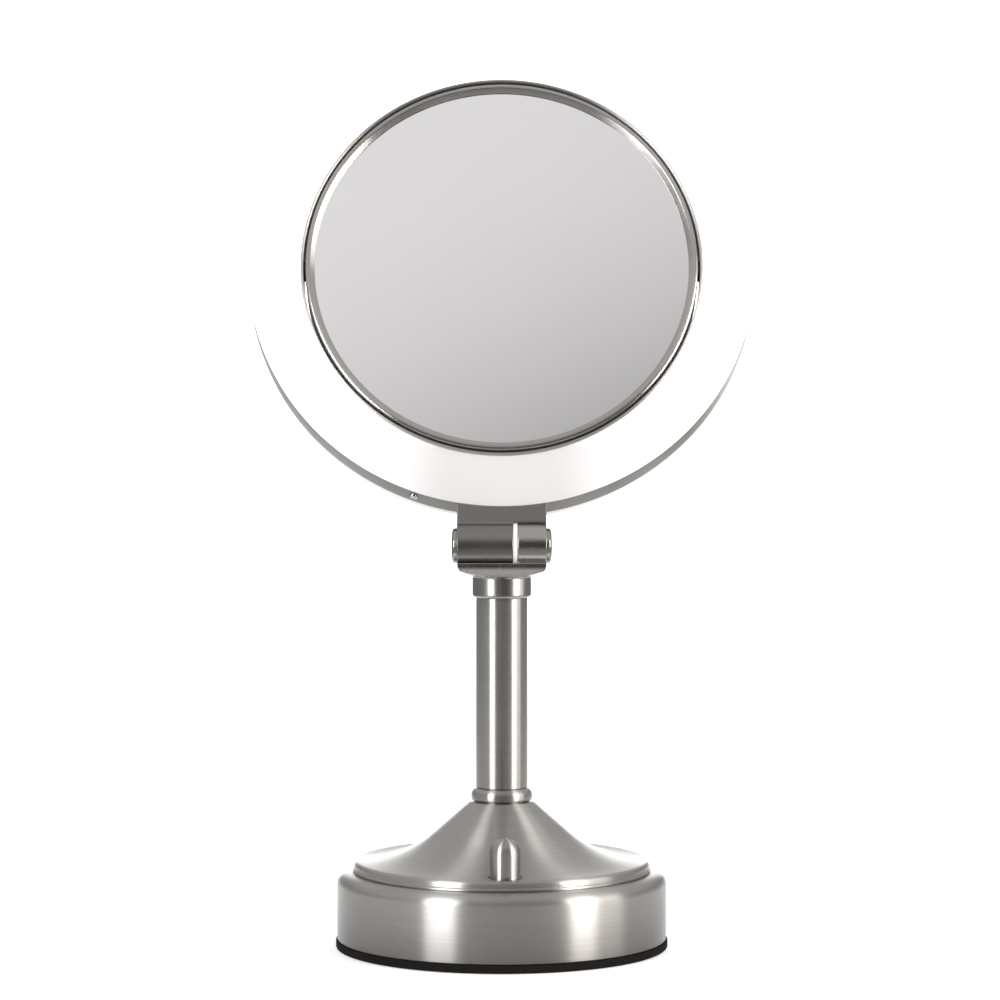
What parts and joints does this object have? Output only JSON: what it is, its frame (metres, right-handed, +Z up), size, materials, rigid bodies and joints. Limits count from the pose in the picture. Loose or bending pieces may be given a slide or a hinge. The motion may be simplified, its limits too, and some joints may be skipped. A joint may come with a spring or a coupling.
{
  "type": "vanity mirror",
  "caption": "Tabletop vanity mirror with a round weighted base, a slim column, a tilting lighted ring head and a two-sided mirror that flips inside the ring.",
  "frame": {"origin": "centre of the foot pad's flat underside, on the table, below the column's axis", "axes": "+Z up along the column, -Y the front that the mirror and the switch face, +X to the right as seen from the front, parallel to the hinge and flip axes"},
  "size_m": [0.2094, 0.1642, 0.3735],
  "materials": {
    "satin_nickel": "fine circumferential brushing, satin nickel",
    "bright_nickel": "polished nickel",
    "black_rubber": "matt black brown rubber",
    "plated_steel": "zinc plated",
    "cast_iron": "rough cast",
    "board_green": "soldermask",
    "component_dark": "moulded",
    "component_blue": "sleeved",
    "white_nylon": "moulded nylon",
    "dark_nylon": "moulded nylon",
    "brass": "turned",
    "opal": "opal, lit from inside",
    "lamp_glass": "phosphor coated glass, white",
    "mirror_glass": "silvered glass",
    "lead_jacket": "flexible sheath"
  },
  "bodies": {
    "stand": {"foot_pad": "black_rubber", "bottom_plate": "plated_steel", "iron_weight": "cast_iron", "base_drum": "satin_nickel", "base_pillars": "plated_steel", "base_screws": "plated_steel", "base_flare": "satin_nickel", "cord_gland": "black_rubber", "circuit_board": "board_green", "board_standoffs": "white_nylon", "board_screws": "plated_steel", "transformer": "component_dark", "capacitors": "component_blue", "choke": "component_dark", "lead_connector": "white_nylon", "switch_body": "component_dark", "switch_bushing": "brass", "switch_nut": "brass", "column_bead": "satin_nickel", "column_tube": "satin_nickel", "tie_tube": "plated_steel", "tie_washer": "plated_steel", "tie_nut": "plated_steel", "yoke": "satin_nickel", "hinge_bolt": "bright_nickel", "friction_washer": "white_nylon", "spring_washer": "plated_steel", "hinge_nut": "plated_steel", "lower_lead": "lead_jacket", "switch_lead": "lead_jacket"},
    "switch": {"switch_knob": "bright_nickel", "switch_shaft": "plated_steel"},
    "head": {"head_bracket": "satin_nickel", "hinge_cap": "bright_nickel", "bracket_screws": "plated_steel", "hoop_screw": "bright_nickel", "outer_hoop": "satin_nickel", "inner_hoop": "satin_nickel", "front_diffuser": "opal", "rear_shell": "opal", "lamp_tube": "lamp_glass", "lamp_base": "white_nylon", "lamp_pins": "brass", "lamp_socket": "white_nylon", "lamp_clips": "plated_steel", "pivot_bush_left": "dark_nylon", "pivot_bush_right": "dark_nylon", "upper_lead": "lead_jacket"},
    "mirror": {"mirror_frame_front": "satin_nickel", "mirror_frame_rear": "satin_nickel", "glass_plain": "mirror_glass", "glass_magnifying": "mirror_glass", "mirror_core": "white_nylon", "pivot_pin_left": "plated_steel", "pivot_pin_right": "plated_steel"}
  },
  "joints": [
    {"name": "head_tilt", "type": "hinge", "parent": "stand", "child": "head", "pos_m": [0, 0, 0.1632], "axis": [1, 0, 0], "range_deg": [-48, 50]},
    {"name": "mirror_flip", "type": "hinge", "parent": "head", "child": "mirror", "pos_m": [0, 0.04749, 0.27345], "axis": [1, 0, 0], "continuous": true},
    {"name": "switch_turn", "type": "hinge", "parent": "stand", "child": "switch", "pos_m": [0.0013, -0.0507, 0.04], "axis": [0, 0, 1], "continuous": true}
  ]
}
